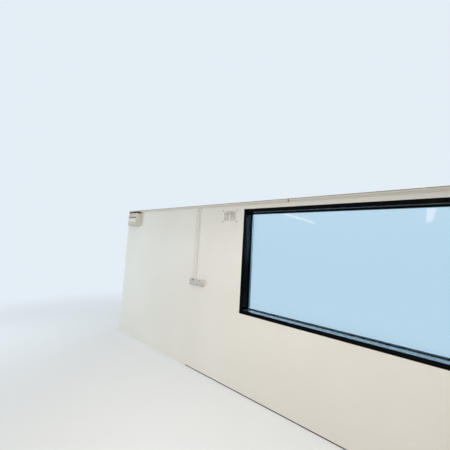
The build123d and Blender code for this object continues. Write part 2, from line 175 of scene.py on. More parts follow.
def mixed(factor, first, second):
    """Two colours mixed by a factor from 0 to 1."""
    inputs = {0: factor, 6: first, 7: second}
    return add_node(factor.id_data, "Mix", inputs, data_type="RGBA").outputs[2]


# %% Patterns, relief and a new finish
def noise(place, scale, detail=2.0, roughness=0.5):
    """Soft cloudy noise from 0 to 1, with its mean near 0.5."""
    inputs = {"Vector": place, "Scale": scale, "Detail": detail, "Roughness": roughness}
    return add_node(place.id_data, "TexNoise", inputs).outputs["Fac"]


def stretched(place, scales):
    """The place scaled by axis."""
    inputs = {"Vector": place, "Scale": scales}
    return add_node(place.id_data, "Mapping", inputs).outputs["Vector"]


def drawn_noise(place, scales, detail, roughness=0.5):
    """Noise that is drawn out along the axes with a small scale."""
    return noise(stretched(place, scales), 1.0, detail, roughness)


def uneven_gloss(place, scale, low, high):
    """A roughness that drifts between two values."""
    return remap(noise(place, scale, 3.0), 0.3, 0.7, low, high)


def bumped(height, distance, strength=1.0, below=None):
    """A normal bent by a height, which distance turns into metres."""
    inputs = {"Height": height, "Distance": distance, "Strength": strength}
    if below:
        inputs["Normal"] = below
    return add_node(height.id_data, "Bump", inputs).outputs["Normal"]


def fine_grain(place, scale, depth, strength, below=None):
    """A normal bent by fine noise."""
    return bumped(noise(place, scale, 2.0), depth, strength, below)


def new_finish(name):
    """A material with its Principled shader and the place on the wall."""
    material = bpy.data.materials.new(name)
    material.use_nodes = True
    shader = material.node_tree.nodes["Principled BSDF"]
    return material, shader, source(shader, "TexCoord", "Object")


def cover(shader, colour, rough, normal):
    """Wire what every finish has: its colour, its roughness and its relief."""
    wire(shader, {"Base Color": colour, "Roughness": rough, "Normal": normal})


# %% [markdown]
# ## Panel skin
#
# The panels are foam between two steel sheets with an off-white coating. The coating is flat
# and even from afar, but close up it has a fine orange peel, and the thin steel is never quite
# flat, so long reflections waver. Near the foot there are scuffs, and on the room face, from the
# second joint on to the right, a thin dark line along the foot is painted shade. Outside, rain has
# washed dust down in faint streaks. The cut edges show the pale yellow foam. One material does it
# all by the place on the wall: skin where |y| is near the faces, foam between.

# %% Panel skin
SKIN_LIGHT = (0.745, 0.716, 0.660, 1.0)
SKIN_DARK = (0.716, 0.684, 0.624, 1.0)
SCUFF = (0.40, 0.385, 0.355, 1.0)
SPLASH = (0.44, 0.41, 0.36, 1.0)
FOAM = (0.72, 0.60, 0.34, 1.0)
FOOT_SHADE = (0.045, 0.042, 0.038, 1.0)
FOOT_SHADE_TOP = 0.0125
FACE_FROM = 0.070
FACE_TO = 0.074
CORE_HALF = 0.059


def panel_skin():
    """Coated steel over foam, with scuffs and a line of painted shade at the foot inside, and washed
    dust outside.
    """
    material, shader, place = new_finish("panel_skin")
    x, y, z = axes(place)
    skin = mixed(remap(noise(place, 1.4, 3.0), 0.32, 0.68), SKIN_DARK, SKIN_LIGHT)
    speckle = remap(noise(place, 46.0, 4.0, 0.6), 0.45, 0.8, 0.0, 0.35)
    skin = mixed(speckle, skin, SKIN_DARK)

    scuffs = remap(drawn_noise(place, (5.0, 5.0, 38.0), 5.0, 0.65), 0.60, 0.72, 0.0, 0.22)
    low_down = remap(z, 0.06, 0.55, 1.0, 0.0)
    skin = mixed(times(scuffs, low_down), skin, SCUFF)

    washed = remap(drawn_noise(place, (17.0, 17.0, 0.7), 4.0), 0.48, 0.80, 0.0, 0.12)
    splashes = remap(noise(place, 9.0, 5.0, 0.7), 0.35, 0.7)
    splashed = times(splashes, remap(z, 0.0, 0.36, 0.42, 0.0))
    weather = times(maths("MAXIMUM", washed, splashed), remap(y, FACE_FROM, FACE_TO))
    skin = mixed(weather, skin, SPLASH)

    # Painted shade: a thin dark line along the foot of the room face, right of the second joint.
    line = remap(z, FOOT_SHADE_TOP - 0.001, FOOT_SHADE_TOP, 0.95, 0.0)
    line = times(line, remap(x, JOINTS[1], JOINTS[1] + 0.01))
    line = times(line, remap(y, -FACE_TO, -FACE_FROM, 1.0, 0.0))
    skin = mixed(line, skin, FOOT_SHADE)
    core = remap(maths("ABSOLUTE", y), CORE_HALF - 0.0005, CORE_HALF + 0.0005, 1.0, 0.0)
    skin = mixed(core, skin, FOAM)

    rough = maths("MAXIMUM", uneven_gloss(place, 70.0, 0.36, 0.50), times(core, 0.9))
    wavering = bumped(drawn_noise(place, (1.6, 1.6, 0.8), 1.0), 0.004, 0.5)
    cover(shader, skin, rough, fine_grain(place, 520.0, 0.0002, 0.5, wavering))
    wire(shader, {"Specular IOR Level": 0.42})
    return material


skin_finish = panel_skin()

# %% [markdown]
# ## Folded and galvanised steel
#
# The head channel is folded from coated sheet in nearly the panels' colour. The base channel
# and the end channels are bare galvanised steel, whose zinc sets in flat crystals of a
# centimetre or so. A Voronoi texture gives each crystal its own tone and its own gloss, which
# is what makes zinc read as zinc.

# %% Folded and galvanised steel
def coated_steel():
    """Off-white coated sheet with dust that lies on its upper faces."""
    material, shader, place = new_finish("coated_steel")
    up = axes(source(place, "NewGeometry", "Normal"))["Z"]
    coat = mixed(noise(place, 3.0, 4.0), (0.70, 0.675, 0.625, 1.0), (0.74, 0.715, 0.665, 1.0))
    dust_spots = remap(noise(place, 30.0, 5.0, 0.7), 0.35, 0.75, 0.1, 0.6)
    dusty = times(remap(up, 0.5, 0.9), dust_spots)
    coat = mixed(dusty, coat, (0.46, 0.43, 0.38, 1.0))
    rough = maths("ADD", uneven_gloss(place, 55.0, 0.34, 0.48), times(dusty, 0.4))
    cover(shader, coat, rough, fine_grain(place, 480.0, 0.0002, 0.5))
    return material


def galvanised_steel():
    """Zinc with its crystals, and pale bloom where water has stood."""
    material, shader, place = new_finish("galvanised_steel")
    tree = material.node_tree
    crystals = add_node(tree, "TexVoronoi", {"Vector": place, "Scale": 85.0}).outputs
    tone = add_node(tree, "SeparateColor", {"Color": crystals["Color"]}).outputs
    zinc = mixed(tone["Red"], (0.42, 0.435, 0.45, 1.0), (0.62, 0.635, 0.65, 1.0))
    bloom = remap(noise(place, 14.0, 6.0, 0.7), 0.55, 0.75, 0.0, 0.6)
    zinc = mixed(bloom, zinc, (0.66, 0.66, 0.64, 1.0))
    rough = remap(tone["Green"], 0.0, 1.0, 0.30, 0.52)
    cover(shader, zinc, rough, bumped(crystals["Distance"], 0.0003, 0.3))
    wire(shader, {"Metallic": remap(bloom, 0.0, 0.6, 0.9, 0.25)})
    return material


coat_finish = coated_steel()
zinc_finish = galvanised_steel()

# %% [markdown]
# ## Black window frame
#
# The frame is aluminium with a satin black powder coat: a fine sandy texture, a soft highlight
# and, at a low angle, a clear reflection of the bright outside, which is why the sill looks
# pale blue from the room. The dust on its upper faces is tinted blue as a painted reflection of
# that sky. The four bars meet in mitres, and each mitre shows as a hairline.
# The hairline is not modelled: it lies where a point is equally far from two outer edges, so
# two subtractions find it for all four corners at once.

# %% Black window frame
COAT_BLACK = (0.0012, 0.0013, 0.0015, 1.0)
COAT_WORN = (0.0030, 0.0035, 0.0040, 1.0)
FRAME_DUST_AND_SKY_TINT = (0.070, 0.090, 0.108, 1.0)
MITRE_HALF_W = 0.00035


def grey(level, warm=0.0):
    """A grey of that level, with red raised and blue lowered by a share."""
    return (level * (1 + warm), level, level * (1 - warm), 1.0)


def powder_coat():
    """Satin black with a sandy texture, dust with a painted sky reflection on upper faces, and a
    hairline at each mitre.
    """
    material, shader, place = new_finish("powder_coat")
    x, _, z = axes(place)
    up = axes(source(place, "NewGeometry", "Normal"))["Z"]
    from_side = maths("SUBTRACT", away_from(x, window_mid.x), window_half_w)
    from_top = maths("SUBTRACT", away_from(z, window_mid.z), window_half_h)
    apart = away_from(from_side, from_top)
    mitre = remap(apart, MITRE_HALF_W, 2 * MITRE_HALF_W, 1.0, 0.0)

    worn = remap(noise(place, 24.0, 5.0, 0.65), 0.5, 0.8, 0.0, 0.6)
    specks = remap(noise(place, 9.0, 3.0, 0.55), 0.35, 0.65, 0.40, 0.60)
    # Dust on upper faces, its colour tinted blue: real dust and a painted reflection of the sky.
    dusty = times(remap(up, 0.6, 0.95), specks)
    coat = mixed(dusty, mixed(worn, COAT_BLACK, COAT_WORN), FRAME_DUST_AND_SKY_TINT)
    coat = mixed(mitre, coat, grey(0.001))
    rough = maths("ADD", uneven_gloss(place, 90.0, 0.17, 0.21), times(dusty, 0.10))
    sandy = fine_grain(place, 1400.0, 0.0001, 0.05)
    cover(shader, coat, rough, bumped(mitre, -0.0004, 0.8, sandy))
    wire(shader, {"Specular IOR Level": remap(up, 0.6, 0.95, 0.07, 0.32)})
    return material


frame_finish = powder_coat()

# %% [markdown]
# ## Glass, spacer and gaskets
#
# A sealed unit is two panes with a hollow aluminium bar between them, held in black rubber.
# Full refraction is slow and noisy for flat panes and bends nothing that matters, so each face
# mixes a tinted see-through shader with a mirror, by Fresnel. Only faces turned to the eye
# mirror, because a ray inside the pane isn't bent here and Fresnel would call it trapped.
# The lamps then show as soft streaks in the panes. The spacer's flat sides are sealed to the
# glass with black butyl, and its inner face has a row of tiny slots.

# %% Glass, spacer and gaskets
GLASS_TINT = (0.900, 0.960, 0.990, 1.0)
GLASS_IOR = 1.52
SLOT_PITCH = 0.005


def show_mix(factor, first, second):
    """Show two shader nodes mixed by a factor."""
    tree = factor.id_data
    both = add_node(tree, "MixShader", {0: factor, 1: first.outputs[0], 2: second.outputs[0]})
    output = next(node for node in tree.nodes if node.type.startswith("OUTPUT"))
    wire(output, {"Surface": both.outputs[0]})


def float_glass():
    """Clear glass with a faint cool cast, a mirror by angle and a trace of wiped smears."""
    material, shader, place = new_finish("float_glass")
    tree = material.node_tree
    tree.nodes.remove(shader)
    front = remap(source(place, "NewGeometry", "Backfacing"), 0.0, 1.0, 1.0, 0.0)
    by_angle = add_node(tree, "Fresnel", {"IOR": GLASS_IOR}).outputs["Fac"]
    smear = remap(drawn_noise(place, (5.0, 5.0, 2.0), 5.0, 0.7), 0.35, 0.8, 0.03, 0.10)
    clear = add_node(tree, "BsdfTransparent", {"Color": GLASS_TINT})
    mirror = add_node(tree, "BsdfAnisotropic", {"Color": grey(0.96), "Roughness": smear})
    show_mix(times(by_angle, front), clear, mirror)
    return material


def spacer_metal():
    """Mill aluminium with a row of slots on the face between the panes, and butyl beside it."""
    material, shader, place = new_finish("spacer_metal")
    x, y, z = axes(place)
    turned = axes(source(place, "NewGeometry", "Normal"))["Y"]
    sealed = remap(maths("ABSOLUTE", turned), 0.4, 0.6)
    wave = maths("SINE", times(maths("ADD", x, z), 2 * math.pi / SLOT_PITCH))
    spacer_low, spacer_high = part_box("glass_spacer")
    off_middle = away_from(y, (spacer_low.y + spacer_high.y) / 2)
    slots = times(remap(wave, 0.2, 0.5), remap(off_middle, 0.0006, 0.0010, 1.0, 0.0))
    brushed = drawn_noise(place, (6.0, 500.0, 6.0), 3.0)
    metal = mixed(brushed, (0.56, 0.58, 0.60, 1.0), (0.70, 0.72, 0.73, 1.0))
    metal = mixed(sealed, mixed(slots, metal, grey(0.03)), (0.018, 0.022, 0.024, 1.0))
    cover(shader, metal, remap(brushed, 0.3, 0.7, 0.28, 0.42), bumped(slots, -0.0005, 0.8))
    wire(shader, {"Metallic": remap(sealed, 0.0, 1.0, 0.85, 0.0)})
    return material


def black_rubber():
    """Matt extruded rubber with fine lines along it and a little dust."""
    material, shader, place = new_finish("black_rubber")
    dust = remap(noise(place, 40.0, 5.0, 0.7), 0.45, 0.8, 0.0, 0.5)
    rubber = mixed(dust, (0.010, 0.010, 0.011, 1.0), (0.045, 0.045, 0.044, 1.0))
    lines = bumped(drawn_noise(place, (30.0, 2500.0, 30.0), 1.0), 0.0001, 0.5)
    cover(shader, rubber, remap(dust, 0.0, 0.5, 0.55, 0.8), lines)
    return material


glass_finish = float_glass()
spacer_finish = spacer_metal()
rubber_finish = black_rubber()

# %% [markdown]
# ## Trim and moulded plastics
#
# The trim along the wall's top is an off-white extruded plastic, a tone darker than the wall.
# Painted shade lies in a dark line along its upper edge, in fainter ones in its step and along
# its foot, and beside its one joint, and a point's height and x say how far it is from each. The
# sockets, the trunking, the vent and the consumer unit are moulded: glossier and whiter, with
# a fine spark-eroded grain on the larger faces. Age yellows them a little and unevenly.

# %% Trim and moulded plastics
TRIM_SHADE = (0.060, 0.055, 0.048, 1.0)
TRIM_STEP_Z = trim_low.z + 0.016
TRIM_SHADE_LINES = ((trim_high.z, 0.0110, 0.93), (TRIM_STEP_Z, 0.0016, 0.55), (trim_low.z, 0.0030, 0.30))


def extruded_trim():
    """Satin off-white plastic with faint drawn lines along it, and painted shade in three thin lines
    and beside its joint.
    """
    material, shader, place = new_finish("extruded_trim")
    run, _, height = axes(place)
    drawn = drawn_noise(place, (1.2, 260.0, 260.0), 3.0)
    base = mixed(noise(place, 4.0, 4.0), (0.66, 0.615, 0.535, 1.0), (0.70, 0.655, 0.575, 1.0))
    base = mixed(remap(drawn, 0.4, 0.75, 0.0, 0.35), base, (0.60, 0.56, 0.48, 1.0))
    # Painted shade in thin dark lines at the upper edge, in the step and at the foot.
    for line_z, reach, strength in TRIM_SHADE_LINES:
        near_line = remap(away_from(height, line_z), 0.0, reach, strength, 0.0)
        base = mixed(near_line, base, TRIM_SHADE)
    # Painted shade beside the joint between the two lengths.
    near_joint = remap(away_from(run, trim_low.x), 0.003, 0.010, 0.9, 0.0)
    base = mixed(near_joint, base, TRIM_SHADE)
    cover(shader, base, remap(drawn, 0.3, 0.7, 0.40, 0.52), bumped(drawn, 0.0002, 0.5))
    return material


def moulded_plastic(name, light, dark, low_rough, high_rough):
    """Moulded plastic between two tones, with a spark-eroded grain."""
    material, shader, place = new_finish(name)
    base = mixed(remap(noise(place, 7.0, 4.0, 0.6), 0.3, 0.7), dark, light)
    marks = remap(noise(place, 75.0, 5.0, 0.7), 0.55, 0.8, 0.0, 0.3)
    gloss = uneven_gloss(place, 110.0, low_rough, high_rough)
    cover(shader, mixed(marks, base, dark), gloss, fine_grain(place, 900.0, 0.00012, 0.4))
    return material


trim_finish = extruded_trim()
PLASTICS = {
    "plate": ((0.54, 0.525, 0.495, 1), (0.48, 0.465, 0.435, 1), 0.26, 0.36),
    "unit": ((0.605, 0.553, 0.478, 1), (0.550, 0.497, 0.422, 1), 0.30, 0.42),
    # The flap is a lighter tone than the cover: a painted highlight for the light it catches.
    "flap": ((0.775, 0.730, 0.655, 1), (0.735, 0.690, 0.615, 1), 0.18, 0.26),
    "vent": ((0.77, 0.745, 0.685, 1), (0.72, 0.695, 0.635, 1), 0.32, 0.44),
    "trunk": ((0.67, 0.640, 0.580, 1), (0.63, 0.600, 0.540, 1), 0.30, 0.40),
}
white = {name: moulded_plastic(f"{name}_plastic", *look) for name, look in PLASTICS.items()}
print("plastics:", sorted(white))

# %% [markdown]
# ## Painted light and shade on the plastics
#
# Three painted marks of light and shade sit on these plain mouldings. Their right sides are a
# lighter tone than the fronts, as painted light from the right. A thin line of painted shade runs
# along the foot of the sockets. A soft patch of painted shade lies high and to the right on the
# vent's louvres, but not on the lower half of the bar in front of them. Each mark is one more tone
# laid over the finish, by a factor that a small function makes from the face's direction or the
# place on the wall.

# %% Painted light and shade on the plastics
LIT_RIGHT_SIDES = {"unit": (0.72, 0.71, 0.61), "trunk": (0.84, 0.825, 0.78), "plate": (0.67, 0.65, 0.61)}
SOCKET_SHADE = (0.16, 0.155, 0.145, 1.0)
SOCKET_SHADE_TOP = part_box("socket_left_plate")[0].z + 0.007
VENT_SHADE = (0.33, 0.31, 0.27, 1.0)
VENT_SHADE_SHARE = 0.34
VENT_SHADE_HALF = Vector((0.078, 0, 0.046))
VENT_SHADE_MID = vent_mid + Vector((0.019, 0, 0.020))
VENT_BAR_HALF_W = 0.0112


def over_colour(material, find_factor, tone):
    """Lay one more tone over a finish, where the factor says."""
    shader = material.node_tree.nodes["Principled BSDF"]
    below = shader.inputs["Base Color"].links[0].from_socket
    wire(shader, {"Base Color": mixed(find_factor(shader), below, tone)})


def faces_right(shader):
    """How far a face is turned to +x."""
    return remap(axes(source(shader, "NewGeometry", "Normal"))["X"], 0.6, 0.9)


def upper_vent_shade(shader):
    """A soft patch of painted shade on the vent, high and to the right, but not low on its bar."""
    x, _, z = axes(source(shader, "TexCoord", "Object"))
    half = VENT_SHADE_HALF
    across = remap(away_from(x, VENT_SHADE_MID.x), 0.75 * half.x, 1.1 * half.x, 1.0, 0.0)
    up = remap(away_from(z, VENT_SHADE_MID.z), 0.6 * half.z, 1.3 * half.z, 1.0, 0.0)
    off_bar = remap(away_from(x, vent_mid.x), VENT_BAR_HALF_W, VENT_BAR_HALF_W + 0.003)
    high = remap(z, vent_mid.z, vent_mid.z + 0.015)
    return times(times(across, up), times(maths("MAXIMUM", off_bar, high), VENT_SHADE_SHARE))


def low_on_socket(shader):
    """A thin line of painted shade along the foot of the sockets."""
    height = axes(source(shader, "TexCoord", "Object"))["Z"]
    return remap(height, SOCKET_SHADE_TOP - 0.002, SOCKET_SHADE_TOP + 0.002, 0.85, 0.0)


# Painted light: faces turned to +x get a lighter tone.
for name, tone in LIT_RIGHT_SIDES.items():
    over_colour(white[name], faces_right, (*tone, 1.0))
# Painted shade along the foot of the sockets.
over_colour(white["plate"], low_on_socket, SOCKET_SHADE)
# Painted shade on the vent's louvres.
over_colour(white["vent"], upper_vent_shade, VENT_SHADE)
print("fresher right sides:", sorted(LIT_RIGHT_SIDES))

# %% [markdown]
# ## Dress the nodes
#
# A node of the frame keeps its mesh and only takes a material in its slot. The list below goes
# by the start of the node's name, and the first line that fits it wins.

# %% Dress the nodes
FINISHES = (
    (skin_finish, "panel_"),
    (zinc_finish, "base_channel", "end_channel_"),
    (coat_finish, "head_channel"),
    (frame_finish, "window_frame_", "glazing_bead_", "outside_"),
    (spacer_finish, "glass_spacer"),
    (glass_finish, "glass_"),
    (rubber_finish, "gasket_"),
    (trim_finish, "ceiling_trim_"),
    (white["trunk"], "trunking_"),
    (white["plate"], "socket_"),
    (white["vent"], "vent_"),
    (white["flap"], "consumer_unit_flap"),
    (white["unit"], "consumer_unit_"),
)

for node in nodes.values():
    finish = next(first for first, *starts in FINISHES if node.name.startswith(tuple(starts)))
    node.data.materials.clear()
    node.data.materials.append(finish)
print("dressed", len(nodes), "nodes")

# %% [markdown]
# ## Small materials for the added pieces
#
# The added pieces are small, but each is its own stuff: white sealant that has been wiped with
# a finger, zinc-plated screws, a stainless mesh, black clips and the red mark on a switch.

# %% Small materials
def sealant():
    """White silicone, slightly uneven from the finger that smoothed it."""
    material, shader, place = new_finish("sealant")
    cloud = noise(place, 20.0, 4.0)
    base = mixed(cloud, (0.72, 0.69, 0.635, 1.0), (0.77, 0.745, 0.69, 1.0))
    wiped = bumped(drawn_noise(place, (18.0, 60.0, 18.0), 3.0), 0.0006, 0.6)
    cover(shader, base, remap(cloud, 0.3, 0.7, 0.3, 0.45), wiped)
    return material


def plated_metal(name, light, dark, roughness):
    """Bright metal with fine turning marks and darker stains."""
    material, shader, place = new_finish(name)
    stain = remap(noise(place, 300.0, 4.0, 0.6), 0.4, 0.75)
    rough = remap(stain, 0.0, 1.0, roughness, roughness + 0.15)
    marks = bumped(drawn_noise(place, (900.0, 900.0, 3000.0), 2.0), 0.00005, 0.5)
    cover(shader, mixed(stain, light, dark), rough, marks)
    wire(shader, {"Metallic": 1.0})
    return material


sealant_finish = sealant()
screw_finish = plated_metal("plated_screw", (0.62, 0.62, 0.60, 1), (0.33, 0.32, 0.30, 1), 0.28)
mesh_finish = plated_metal("mesh_wire", (0.40, 0.41, 0.41, 1), (0.20, 0.20, 0.20, 1), 0.35)
COLOURED = {
    "black_clip": (grey(0.022), grey(0.010), 0.40, 0.55),
    "shutter_grey": (grey(0.10), grey(0.06), 0.45, 0.60),
    "rocker_grey": (grey(0.055), grey(0.035), 0.30, 0.42),
    "red_mark": ((0.62, 0.045, 0.03, 1), (0.50, 0.03, 0.02, 1), 0.25, 0.35),
    "packer_grey": (grey(0.165, -0.03), grey(0.11, -0.03), 0.50, 0.65),
    "grip_shade_grey": (grey(0.20, 0.05), grey(0.15, 0.05), 0.45, 0.60),
}
small = {name: moulded_plastic(name, *look) for name, look in COLOURED.items()}
print("small plastics:", sorted(small))

# %% [markdown]
# ## Helpers for the added pieces
#
# Each added piece starts from a bmesh primitive, is shaped by operators, and ends here: it
# becomes an object at the origin whose place is in its mesh, and rides on the wall's one body.

# %% Helpers for the added pieces
def object_of(name, bm, material):
    """An object at the origin with a bmesh's faces and one material."""
    mesh = bpy.data.meshes.new(name)
    bm.to_mesh(mesh)
    bm.free()
    mesh.materials.append(material)
    return in_scene(name, mesh)


def finished(name, bm, material, smooth_below=35.0):
    """Make a piece of a bmesh: smooth its gentle edges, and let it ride."""
    bmesh.ops.recalc_face_normals(bm, faces=bm.faces)
    piece = object_of(name, bm, material)
    piece.data.shade_smooth()
    piece.data.set_sharp_from_angle(angle=math.radians(smooth_below))
    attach(piece, "root")
    print(name, len(piece.data.polygons), "faces")


def edges_of(verts):
    """The edges that meet some vertices, each once."""
    return list(dict.fromkeys(edge for vert in verts for edge in vert.link_edges))


def round_off(bm, edges, width, segments=2):
    """Round some edges by a bevel."""
    bmesh.ops.bevel(
        bm, geom=edges, offset=width, segments=segments, profile=0.5, affect="EDGES", material=-1
    )


# %% [markdown]
# ## Seals round the window
#
# Where the frame's flange lies on the panel, a bead of white sealant fills the corner. In the
# picture it is the bright line that sets off the black frame. The bead is a ring with a small
# sloped section, so it is made as rectangles of four points, one for each point of the
# section, joined by bridge_loops. Overlapping bars would be quicker, but their ends would
# cross at the corners.

# %% Seals round the window
SEAL_W = 0.0055
SEAL_RISE = 0.0026
SEAL_SECTION = ((0, 0), (SEAL_W, 0), (SEAL_W * 0.45, SEAL_RISE * 0.35), (0, SEAL_RISE))


def rectangle_loop(bm, out, y):
    """Edges of an upright rectangle at a distance out from the frame, at one depth."""
    made = bmesh.ops.create_circle(bm, segments=4, radius=math.sqrt(2.0))["verts"]
    turn = Matrix.Rotation(math.pi / 2, 4, "X") @ Matrix.Rotation(math.pi / 4, 4, "Z")
    place = Matrix.Translation((window_mid.x, y, window_mid.z))
    size = Matrix.Diagonal((window_half_w + out, 1.0, window_half_h + out, 1.0))
    bmesh.ops.transform(bm, matrix=place @ size @ turn, verts=made)
    return edges_of(made)


ring = bmesh.new()
loops = [rectangle_loop(ring, out, room_y - rise) for out, rise in SEAL_SECTION]
for first, second in zip(loops, loops[1:] + loops[:1]):
    bmesh.ops.bridge_loops(ring, edges=first + second)
finished("frame_sealant", ring, sealant_finish, 20.0)

# %% [markdown]
# ## Seals along the panel joints
#
# The joints between panels are filled nearly flush with sealant of the wall's colour, which is
# why the wall looks like one sheet in the picture. Each bead is a flattened rod that lies just
# inside the joint: a cone with two equal ends, scaled to an oval. Joints under and over the
# window stop at its frame.

# %% Seals along the panel joints
BEAD_HALF_W = 0.0033
BEAD_HALF_D = 0.0011
BEAD_IN = BEAD_HALF_D - 0.0001
BEAD_END = 0.002
FLANGE_CLEAR = 0.006
ANGLE_CLEAR = 0.015


def rod(bm, start, end, half_w, half_d, sides=12):
    """A rod with an oval section, deep along Y, from start to end in the wall's plane."""
    start = Vector(start)
    along = Vector(end) - start
    deep_way = Vector((0, 1, 0))
    run_way = along.normalized()
    turn = Matrix((deep_way.cross(run_way), deep_way, run_way)).transposed().to_4x4()
    flatten = Matrix.Diagonal((half_w, half_d, 1.0, 1.0))
    matrix = Matrix.Translation(start + along / 2) @ turn @ flatten
    bmesh.ops.create_cone(
        bm, cap_ends=True, segments=sides, radius1=1, radius2=1, depth=along.length, matrix=matrix
    )


def rods(name, runs, half_w, half_d, material, slot, sides=12):
    """One piece made of rods, from pairs of ends."""
    bm = bmesh.new()
    for start, end in runs:
        rod(bm, start, end, half_w, half_d, sides)
    finished(name, bm, material)


def joint_runs(x, y, clear):
    """The stretches of a joint line that show on one face of the wall, as pairs of ends."""
    bottom = (x, y, foot_z + BEAD_END)
    top = (x, y, cap_low.z - BEAD_END)
    if abs(x) > window_half_w:
        return [(bottom, top)]
    return [(bottom, (x, y, window_low.z - clear)), ((x, y, window_high.z + clear), top)]


beads = []
for y, clear in ((room_y + BEAD_IN, FLANGE_CLEAR), (outside_y - BEAD_IN, ANGLE_CLEAR)):
    for x in JOINTS:
        beads.extend(joint_runs(x, y, clear))
rods("joint_seals", beads, BEAD_HALF_W, BEAD_HALF_D, sealant_finish, "panel_skin")

# %% [markdown]
# ## Screws
#
# A small screw head is mostly its recess: without one it reads as a rivet. The head starts as
# a flat cylinder, its top edge is bevelled to a low dome, its top face is cut by planes into a
# grid, and the cells of the slot or the cross are pushed down. The same function makes every
# screw here, turned by a seeded random angle, because nobody lines screws up.

# %% Stubs on a face
def stub(bm, stand, low_r, high_r, start, depth, sides):
    """A short cylinder or cone on a face, from start up to start + depth above it."""
    matrix = stand @ Matrix.Translation((0, 0, start + depth / 2))
    bmesh.ops.create_cone(
        bm, cap_ends=True, segments=sides, radius1=low_r, radius2=high_r, depth=depth, matrix=matrix
    )


def standing(place, outward):
    """The matrix of a thing that stands on a face: z looks outward from the place."""
    turn = Vector(outward).to_track_quat("Z", "X").to_matrix().to_4x4()
    return Matrix.Translation(place) @ turn


# %% Screws
ROOMWARD = Vector((0, -1, 0))
NEARLY = 1e-6
HEAD_SIDES = 20
DOME_SHARE = 0.6
RECESS_SHARE = 0.55
ARM_HALF_W = 0.11
CROSS_REACH = 0.46
SLOT_REACH = 2.0
dice = random.Random(11)


def top_faces(head, height):
    """The flat faces at the top of a screw head."""
    return [face for face in head.faces if abs(face.calc_center_median().z - height) < NEARLY]


def cut_top(head, height, direction, offset):
    """Cut the flat top along a line at an offset from the middle."""
    flat = top_faces(head, height)
    rims = dict.fromkeys(edge for face in flat for edge in face.edges)
    corners = dict.fromkeys(vert for face in flat for vert in face.verts)
    bmesh.ops.bisect_plane(
        head,
        geom=[*flat, *rims, *corners],
        plane_co=direction * offset + Vector((0, 0, height)),
        plane_no=direction,
    )


def sink_recess(head, height, half_w, reach, arms):
    """Push the cells of the slot or the cross down."""
    sunk = []
    for face in top_faces(head, height):
        x, y, _ = (abs(part) for part in face.calc_center_median())
        if (x < half_w and y < reach) or (arms == 2 and y < half_w and x < reach):
            sunk.append(face)
    pushed = bmesh.ops.extrude_face_region(head, geom=sunk)["geom"]
    moved = [item for item in pushed if isinstance(item, bmesh.types.BMVert)]
    bmesh.ops.translate(head, vec=(0, 0, -height * RECESS_SHARE), verts=moved)
    left = [face for face in sunk if face.is_valid]
    if left:
        bmesh.ops.delete(head, geom=left, context="FACES_ONLY")


def screw_head(bm, centre, outward, radius, height, arms):
    """A screw head on a face: arms is 1 for a slot and 2 for a cross."""
    head = bmesh.new()
    stub(head, Matrix(), radius, radius, 0.0, height, HEAD_SIDES)
    upper = [e for e in head.edges if all(abs(v.co.z - height) < NEARLY for v in e.verts)]
    round_off(head, upper, height * DOME_SHARE, 3)
    half_w = radius * ARM_HALF_W
    reach = radius * (CROSS_REACH if arms == 2 else SLOT_REACH)
    for direction in (Vector((1, 0, 0)), Vector((0, 1, 0))):
        for offset in (-reach, -half_w, half_w, reach):
            if abs(offset) < radius:
                cut_top(head, height, direction, offset)
    sink_recess(head, height, half_w, reach, arms)
    spin = Matrix.Rotation(dice.uniform(0, math.pi), 4, "Z")
    bmesh.ops.transform(head, matrix=standing(centre, outward) @ spin, verts=head.verts)
    mesh = bpy.data.meshes.new("one_head")
    head.to_mesh(mesh)
    head.free()
    bm.from_mesh(mesh)
    bpy.data.meshes.remove(mesh)


def screws(name, places, radius, height, arms=2):
    """Screw heads as one piece, from pairs of a place and the way it faces."""
    bm = bmesh.new()
    for place, outward in places:
        screw_head(bm, place, outward, radius, height, arms)
    finished(name, bm, screw_finish, 30.0)


# %% [markdown]
# ## Vent: screws and fly mesh
#
# The vent plate is held by four bright pan heads at its corners, each on a dark disc that is
# painted shade round the head; these are what the eye finds first on a plate of the wall's own
# colour. Behind the outer louvres a stainless mesh keeps insects out. The mesh is a grid turned to
# wires by the wireframe operator, which is lighter than an array of rods and joins every crossing.

# %% Vent: screws on discs of painted shade
PAN_HEAD = (0.0052, 0.0026)
VENT_PLATE_T = 0.003
VENT_SCREW_IN = Vector((0.012, 0, 0.012))
SHADE_DISC_R = 0.0085
SHADE_DISC_T = 0.0009


def corners_in(box, inset, y):
    """The four corners of an upright box, moved in, at one depth."""
    low, high = box[0] + inset, box[1] - inset
    return [Vector((x, y, z)) for x in (low.x, high.x) for z in (low.z, high.z)]


vent_corners = []
for plate, face_y, outward in (
    ("vent_inner_plate", room_y - VENT_PLATE_T, ROOMWARD),
    ("vent_outer_plate", outside_y + VENT_PLATE_T, -ROOMWARD),
):
    corners = corners_in(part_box(plate), VENT_SCREW_IN, face_y)
    vent_corners.extend((corner, outward) for corner in corners)
raised = [(place + outward * SHADE_DISC_T, outward) for place, outward in vent_corners]
screws("vent_screws", raised, *PAN_HEAD)

# Dark discs under the screw heads: painted shade.
screw_shade_discs = bmesh.new()
for place, outward in vent_corners:
    stub(screw_shade_discs, standing(place, outward), SHADE_DISC_R, SHADE_DISC_R, 0.0, SHADE_DISC_T, 24)
finished("vent_screw_shade", screw_shade_discs, rubber_finish, 30.0)

